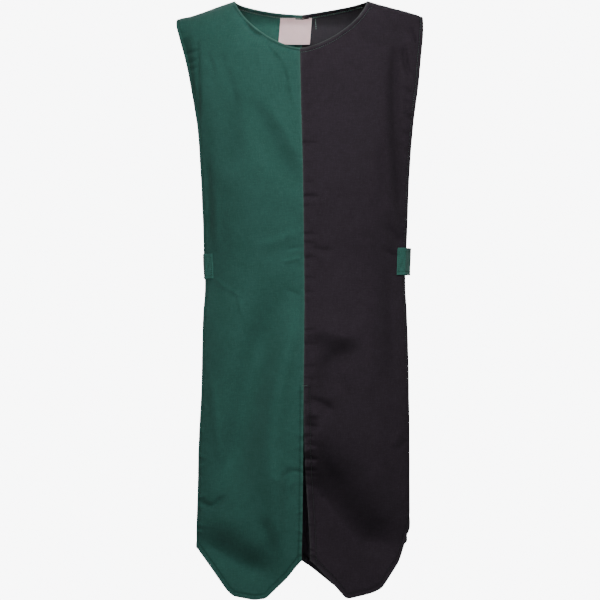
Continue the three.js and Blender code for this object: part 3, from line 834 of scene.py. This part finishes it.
# Puckers: edge, where they start and end along it, how deep they are and how far in they reach
EDGES_GREEN = [("side", 60, 250, 0.9, 9), ("side", 520, 760, 0.8, 10), ("side", 770, 980, 2.0, 15),
               ("middle", 120, 700, 0.5, 8), ("middle", 710, 1010, 1.3, 9), ("top", 0, 150, 0.5, 7),
               ("tail", 0, 220, 0.7, 10)]
EDGES_BLACK = [("side", 50, 430, 1.5, 11), ("side", 520, 960, 0.9, 9), ("middle", 110, 700, 0.6, 11),
               ("middle", 710, 1010, 2.0, 13), ("top", 0, 150, 0.6, 8), ("tail", 0, 220, 0.8, 10)]

# For each edge, where it is stitched and how much is turned in
TURNED_GREEN = {"middle": (6, 8), "side": (6, 8), "top": (5, 9), "tail": (9, 11)}
TURNED_BLACK = {"middle": (11, 13), "side": (6, 8), "top": (8, 10), "tail": (9, 11)}


def columns_across(near, at_edges, between):
    """Shares across a panel, closer together as far in from its edges as a given share."""
    far = round(1 - near, 2)
    return np.concatenate([np.linspace(0, near, at_edges)[:-1], np.linspace(near, far, between),
                           np.linspace(far, 1, at_edges)[1:]])


def rows_down(yoke, body, tail):
    """Places down a panel, closer together at its top edge."""
    return np.concatenate([np.linspace(0, 1, yoke)[:-1] ** 1.25, np.linspace(1, 2, body)[:-1],
                           2 + np.linspace(0, 1, tail)])


CLOTHS = {"green": (green_twill, green_reverse), "black": (black_twill, black_reverse)}
panels = {}


def add_panel(face, half, creases, edges, turned, seed, shares, rows):
    panel = HalfPanel(face, half, creases, edges, turned, seed)
    panels[panel.name] = panel
    piece = panel_mesh(panel, shares, rows, *CLOTHS[half])
    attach(piece, "root")
    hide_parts(panel.name)


shares, rows = columns_across(0.07, 12, 62), rows_down(111, 236, 70)
add_panel("front", "green", CREASES_GREEN, EDGES_GREEN, TURNED_GREEN, 1.0, shares, rows)
add_panel("front", "black", CREASES_BLACK, EDGES_BLACK, TURNED_BLACK, 2.0, shares, rows)


# Back halves
# Two halves of the same twill, cut as the front but higher at the neck and without a slit. They are sewn
# together down the whole middle, and to the front halves along the ridge of each shoulder.

CREASES_BACK_GREEN = [
    (7, 9, 7, (-200, -50), (-192, -110), (-184, -180), (-178, -260)),
    (8.4, 28, 24, (-88, -470), (-84, -600), (-72, -740), (-60, -880)),
    (-5.6, 20, 22, (-140, -760), (-130, -900), (-118, -1050)),
    (4.5, 16, 12, (-40, -60), (-70, -110), (-110, -150), (-150, -170)),
    (-3.6, 12, 12, (-20, -120), (-60, -190), (-110, -250)),
    (3.9, 14, 10, (-176, -470), (-140, -440), (-90, -430), (-30, -450)),
    (-3, 9, 9, (-170, -510), (-120, -520), (-60, -510)),
    (2.7, 7, 8, (-150, -80), (-140, -130), (-130, -190)),
    (3.3, 10, 9, (-20, -560), (-30, -660), (-24, -760)),
    (5, 14, 12, (-150, -560), (-146, -650), (-152, -740)),
    (-2.4, 8, 8, (-40, -900), (-66, -960), (-86, -1030)),
]
CREASES_BACK_BLACK = [
    (7, 7, 9, (194, -50), (188, -120), (184, -200), (180, -300)),
    (8.4, 24, 26, (70, -540), (84, -680), (98, -820), (112, -960)),
    (-5.6, 22, 24, (24, -520), (22, -650), (14, -780), (8, -900)),
    (4.5, 14, 14, (50, -50), (80, -100), (120, -140), (160, -160)),
    (-3.6, 12, 12, (20, -110), (64, -170), (110, -240)),
    (3.9, 12, 10, (180, -460), (140, -434), (90, -430), (36, -444)),
    (-3, 9, 9, (176, -506), (124, -516), (66, -506)),
    (3, 8, 8, (150, -90), (142, -150), (128, -220)),
    (5.6, 14, 14, (160, -560), (156, -650), (160, -750)),
    (9.8, 30, 22, (60, -960), (96, -990), (134, -1010), (172, -1024)),
    (3, 8, 8, (30, -700), (50, -760), (56, -830)),
]
EDGES_BACK = [("side", 60, 300, 0.7, 10), ("side", 520, 960, 0.6, 10), ("middle", 60, 1020, 0.6, 11),
              ("top", 0, 120, 0.3, 8), ("tail", 0, 220, 0.4, 10)]
TURNED_BACK = {"middle": (11, 12), "side": (6, 8), "top": (8.5, 11.5), "tail": (9, 11)}

shares, rows = columns_across(0.06, 8, 52), rows_down(91, 176, 50)
add_panel("back", "green", CREASES_BACK_GREEN, EDGES_BACK, TURNED_BACK, 3.0, shares, rows)
add_panel("back", "black", CREASES_BACK_BLACK, EDGES_BACK, TURNED_BACK, 4.0, shares, rows)


# Stitching
# Polyester thread in greens and greys. Neck, side, slit and tail edges have one row of lock stitches 2.5 mm
# long, the raw edges turned in at the neck and down the seams are overlocked, and a bar of close stitches
# ends the slit. Each stitch is wider than a real one, so that it shows.

STITCH = {"pitch": 3.8, "long": 2.5, "wide": 1.0, "high": 0.6}
STITCH_LIFT = 0.08
OVERLOCK = {"pitch": 2.8, "long": 4.4, "wide": 1.1, "high": 0.7}
BAR = {"pitch": 1.0, "long": 1.8, "wide": 0.8, "high": 0.7}
RUN_STEPS = 900


def run_along(panel, edge, inset, start, end):
    """Points of the cloth and their normals on a line along one edge."""
    place = np.linspace(start, end, RUN_STEPS)
    share = inset / panel.span(edge, place)
    if edge in ("middle", "side"):
        point, _, _, normal = panel.cloth(share if edge == "middle" else 1 - share, place)
    else:
        point, _, _, normal = panel.cloth(place, share if edge == "top" else 3 - share)
    return point, normal


def sew(point, normal, kind, lift, turned=0.0, back_turned=None):
    """Places of the stitches along a line, one matrix each, turned from the line by an angle in degrees."""
    walked = walk(point)
    at = np.arange(kind["pitch"] / 2, walked[-1], kind["pitch"])
    spot, up, along = (np.stack([np.interp(at, walked, column) for column in table.T], axis=1)
                       for table in (point, normal, np.gradient(point, axis=0)))
    up = unit(up)
    along = unit(along - up * (along * up).sum(axis=1)[:, None])
    beside = np.cross(up, along)
    angle = np.full(len(at), math.radians(turned))
    if back_turned is not None:
        angle[1::2] = math.radians(back_turned)
    angle += np.random.default_rng(len(at)).normal(0, 0.06, len(at))
    cos, sin = np.cos(angle)[:, None], np.sin(angle)[:, None]
    axes = (kind["long"] / 2 * (along * cos + beside * sin), kind["wide"] / 2 * (beside * cos - along * sin),
            kind["high"] / 2 * up, spot + up * lift)
    return np.stack(axes, axis=2) * MM


def edge_row(panel, edge, inset, start, end, kind=STITCH, lift=STITCH_LIFT, *turned):
    """Places of the stitches along one edge of a panel."""
    return sew(*run_along(panel, edge, inset, start, end), kind, lift, *turned)


def finish_thread(name, places, thread):
    """Joins one low oval of thread for each place into a piece."""
    bm = bmesh.new()
    bmesh.ops.create_uvsphere(bm, u_segments=6, v_segments=4, radius=1)
    oval = np.array([[*vert.co, 1] for vert in bm.verts])
    faces = sorted([vert.index for vert in face.verts] for face in bm.faces)
    bm.free()
    points = np.einsum("nij,kj->nki", np.concatenate(places), oval)
    mesh = bpy.data.meshes.new(name)
    mesh.from_pydata(points.reshape(-1, 3), [],
                     [[v + n * len(oval) for v in face] for n in range(len(points)) for face in faces])
    piece = link_piece(mesh, thread)
    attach(piece, "root")


def polyester_thread(name, colour):
    """Spun polyester sewing thread, matt, faintly uneven where it twists."""
    material, tree = new_material(name)
    place = add_node(tree, "TexCoord")
    twist = add_node(tree, "TexNoise", {"Scale": 900.0, "Detail": 2.0}, {"Vector": place.outputs["Object"]})
    shader = add_node(tree, "BsdfPrincipled", {"Roughness": 0.7, "Specular IOR Level": 0.35},
                      {"Base Color": blend(tree, twist, *colour)})
    finish_material(tree, shader)
    return material


# One thread for each half's outside, a paler one for the raw edges, and darker ones for tabs and black foot
hem_thread = {"green": polyester_thread("green_polyester_thread", ("#26564b", "#38695e")),
              "black": polyester_thread("grey_polyester_thread", ("#4a5c58", "#6f8a82"))}
pale_thread = polyester_thread("pale_green_polyester_thread", ("#6c9084", "#9dbcae"))
tab_thread = polyester_thread("dark_green_polyester_thread", ("#1d423a", "#2c554b"))
slit_thread = {"green": hem_thread["green"],
               "black": polyester_thread("dark_grey_polyester_thread", ("#2a3231", "#3d4a47"))}

SLIT_DOWN = 1 + (YOKE_FOOT - SLIT_TOP) / (YOKE_FOOT - TAIL_START)
INSIDE = -2 * FOLD_RADIUS - 0.1
NECK_STITCHED = 0.97  # shares of the neckline that are stitched, and overlocked inside
NECK_OVERLOCKED = 0.93
SEAM_START = {"front": 0.05, "back": 0.55}
OVER_AND_BACK = (58, 122)  # slants of the overlocking's threads
STAY = (24, 0.07, 0.185)  # a short row beside the label: distance from the middle, start and end
ROW_START, ROW_END = 0.03, 2.985
for name, panel in panels.items():
    neck_end, inner_end = panel.neck_share * NECK_STITCHED, panel.neck_share * NECK_OVERLOCKED
    neck, neck_raw = panel.turned["top"]
    slit, slit_raw = panel.turned["middle"]
    side, tail = panel.turned["side"][0], panel.turned["tail"][0]
    rows = [edge_row(panel, "top", neck, 0.004, neck_end),
            edge_row(panel, "side", side, ROW_START, SLIT_DOWN)]
    foot = [edge_row(panel, "side", side, SLIT_DOWN, ROW_END),
            edge_row(panel, "tail", tail, 0.015, 0.985)]
    raw = [edge_row(panel, "top", neck, 0.004, inner_end, STITCH, INSIDE),
           edge_row(panel, "top", neck_raw - 1, 0.01, inner_end, OVERLOCK, INSIDE, *OVER_AND_BACK),
           edge_row(panel, "middle", slit_raw - 1, SEAM_START[panel.face], SLIT_DOWN - 0.1, OVERLOCK, INSIDE,
                    *OVER_AND_BACK)]
    if panel.face == "front":
        foot.append(edge_row(panel, "middle", slit, SLIT_DOWN, ROW_END))
    if name == "back_black":
        raw.append(edge_row(panel, "middle", *STAY, STITCH, INSIDE))
    finish_thread(name + "_stitching", rows, hem_thread[panel.half])
    finish_thread(name + "_foot_stitching", foot, slit_thread[panel.half])
    finish_thread(name + "_overlock", raw, pale_thread)

# Bar of stitches across the seam at the top of the slit
BAR_ENDS = ((-2.5, 0, 0), (7.5, 0, 0))
BAR_STEPS = 20
front = panels["front_green"]
middle, _, _, facing = front.cloth([0.002], [SLIT_DOWN])
crossing = middle + np.linspace(*BAR_ENDS, BAR_STEPS)
finish_thread("slit_bar", [sew(crossing, np.repeat(facing, BAR_STEPS, axis=0), BAR, 0.1, 90)],
              hem_thread["black"])


# Side tabs
# A strap of the green twill on each side at the waist, folded double and pressed. It is sewn flat on the
# front and back panels' side hems with a stitched box and cross, and spans the open side between them.

TAB_HEIGHTS = {"right": (-466, -511), "left": (-455, -504.5)}
TAB_WALL = 1.5
TAB_LIFT = 0.35
TAB_ACROSS = (0.905, 0.925, 0.945, 0.965, 0.985)
TAB_BOW = {"right": 3.2, "left": 11}
TAB_COLUMNS, TAB_ROWS = 72, 25
TAB_RUN = 150
TAB_SWELL = (0.35, 1.8, 1.6)  # height, distance from its long edges and width
TAB_DIP = (0.3, 4.2, 0.8)
BOX_ROWS = (3, TAB_ROWS - 4)  # grid lines that the stitched boxes follow
BOX_COLUMNS = ((2, 12), (TAB_COLUMNS - 13, TAB_COLUMNS - 3))


def strap_line(front, back, z, bow, lift):
    """Points of a strap at one height, from its end on the front to its end on the back."""
    shares = np.array(TAB_ACROSS)
    down = np.full_like(shares, 1 + (YOKE_FOOT - z) / (YOKE_FOOT - TAIL_START))
    ends = []
    for panel in (front, back):
        point, _, _, normal = panel.cloth(shares, down)
        ends.append(point + lift * normal)
    there, back_again = ends[0], ends[1][::-1]
    over = np.linspace(0, 1, 7)[1:-1, None]
    span = lerp(there[-1], back_again[0], over)
    span[:, 0] += front.sign * (bow + lift) * np.sin(math.pi * over[:, 0])
    line = np.concatenate([there, span, back_again])
    knots = walk(line)
    place = np.linspace(0, knots[-1], TAB_COLUMNS)
    return np.stack([curve(knots, line[:, 0], place), curve(knots, line[:, 1], place),
                     np.full(TAB_COLUMNS, float(z))], axis=-1)


for side, (top, bottom) in TAB_HEIGHTS.items():
    half = "green" if side == "right" else "black"
    front, back = panels["front_" + half], panels["back_" + half]
    heights = np.linspace(top, bottom, TAB_ROWS)
    lines = np.stack([strap_line(front, back, z, TAB_BOW[side], TAB_LIFT) for z in heights])
    edge_dip = np.minimum(heights[0] - heights, heights - heights[-1])
    outward = unit(np.cross(np.gradient(lines, axis=1), np.gradient(lines, axis=0)))
    outward *= np.sign((outward[..., 0] * front.sign).sum())
    swell = TAB_SWELL[0] * bell(edge_dip, *TAB_SWELL[1:]) - TAB_DIP[0] * bell(edge_dip, *TAB_DIP[1:])
    swell = swell[:, None] + ripple(lines[..., 1], lines[..., 2], 0.5, (17, 24), 5.0 + front.sign)
    lines = lines + swell[..., None] * outward

    laid = np.stack(np.meshgrid(np.linspace(0, TAB_RUN, TAB_COLUMNS), heights), axis=-1)
    strap = cloth_piece("tab_" + side + "_strap", lines, laid, (front.sign, 0, 0), strap_twill, TAB_WALL, 1)
    soft = strap.modifiers.new("pressed_edges", "BEVEL")
    soft.width, soft.segments, soft.limit_method = 0.6 * MM, 3, "ANGLE"
    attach(strap, "root")
    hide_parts("tab_" + side)

    lift = TAB_WALL + STITCH_LIFT
    rows = [sew(lines[row], outward[row], STITCH, lift) for row in BOX_ROWS]
    for box in BOX_COLUMNS:
        rows += [sew(lines[3:-3, column], outward[3:-3, column], STITCH, lift) for column in box]
        for ends in (BOX_ROWS, BOX_ROWS[::-1]):
            row, column = np.linspace(*ends, 40), np.linspace(*box, 40)
            i, j = row.astype(int), column.astype(int)
            u, v = (row - i)[:, None], (column - j)[:, None]
            near = lines[i, j]
            path = (near + u * (lines[np.minimum(i + 1, TAB_ROWS - 1), j] - near)
                    + v * (lines[i, j + 1] - near))
            rows.append(sew(path, outward[i, j], STITCH, lift))
    finish_thread("tab_" + side + "_stitching", rows, tab_thread)


# Neck label
# A pale woven tape, about 61 by 50 mm and bare, with its top edge caught in the neck hem's stitching inside
# the back. Its foot hangs free and curls a little towards the wearer.

LABEL_STEPS = 40
LABEL_WALL = 0.35
LABEL_RAISED = 1.2
LABEL_SLANT = 4
LABEL_TRIM = (2.5, 3)  # how much narrower and shorter it is than its solid
LABEL_CLEAR = 4.2  # distance from the back's smooth form
LABEL_CURL = 8.0
LABEL_CORNERS = 2
LABEL_RIB = 0.0008
low, high = (np.array(corner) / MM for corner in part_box("neck_label"))
share_across, share_down = np.meshgrid(np.linspace(0, 1, LABEL_STEPS), np.linspace(0, 1, LABEL_STEPS))
x = lerp(low[0] + LABEL_TRIM[0], high[0], share_across) - LABEL_SLANT * share_down
z = lerp(high[2], low[2] + LABEL_TRIM[1], share_down) + LABEL_RAISED
clear = LABEL_CLEAR + LABEL_CURL * share_down ** 2
clear += LABEL_CORNERS * share_down ** 3 * (2 * share_across - 1) ** 2
clear += ripple(x, z, 0.7, (26, 18), 8.0) * share_down
y = stand_out("back", x, z) - clear
z = z - 1.2 * share_down * np.sin(2.2 * share_across)
label_points = np.stack([x, y, z], axis=-1)

# Woven polyester tape: pale, silky across its close ribs, with a faint shade from rib to rib
tape, tree = new_material("woven_label_tape")
cut = add_node(tree, "UVMap", {"uv_map": "cut"})
rib = add_node(tree, "TexWave",
               {"wave_type": "BANDS", "bands_direction": "Y", "Scale": math.tau / (20 * LABEL_RIB),
                "Distortion": 0.2}, {"Vector": cut})
cloud = add_node(tree, "TexNoise", {"Scale": 90.0, "Detail": 3.0}, {"Vector": cut})
mixed = blend(tree, cloud, "#f1ccce", "#fddedf")
ribs = add_node(tree, "Bump", {"Strength": 0.3, "Distance": 0.0002}, {"Height": rib.outputs["Fac"]})
rough = add_node(tree, "MapRange", {"To Min": 0.5, "To Max": 0.68}, {"Value": cloud})
tape_shader = add_node(tree, "BsdfPrincipled",
                       {"Specular IOR Level": 0.4, "Sheen Weight": 0.15, "Sheen Roughness": 0.4},
                       {"Base Color": mixed, "Roughness": rough, "Normal": ribs})
finish_material(tree, tape_shader)

label = cloth_piece("neck_label_tape", label_points, label_points[..., (0, 2)], (0, -1, 0), tape,
                    LABEL_WALL, -1)
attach(label, "root")
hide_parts("neck_label")

towards_wearer = np.tile([0.0, -1.0, 0.0], (LABEL_STEPS, 1))
label_row = sew(label_points[1], towards_wearer, STITCH, STITCH_LIFT)
finish_thread("neck_label_stitching", [label_row],
              polyester_thread("rose_polyester_thread", ("#9d8584", "#b39b9a")))
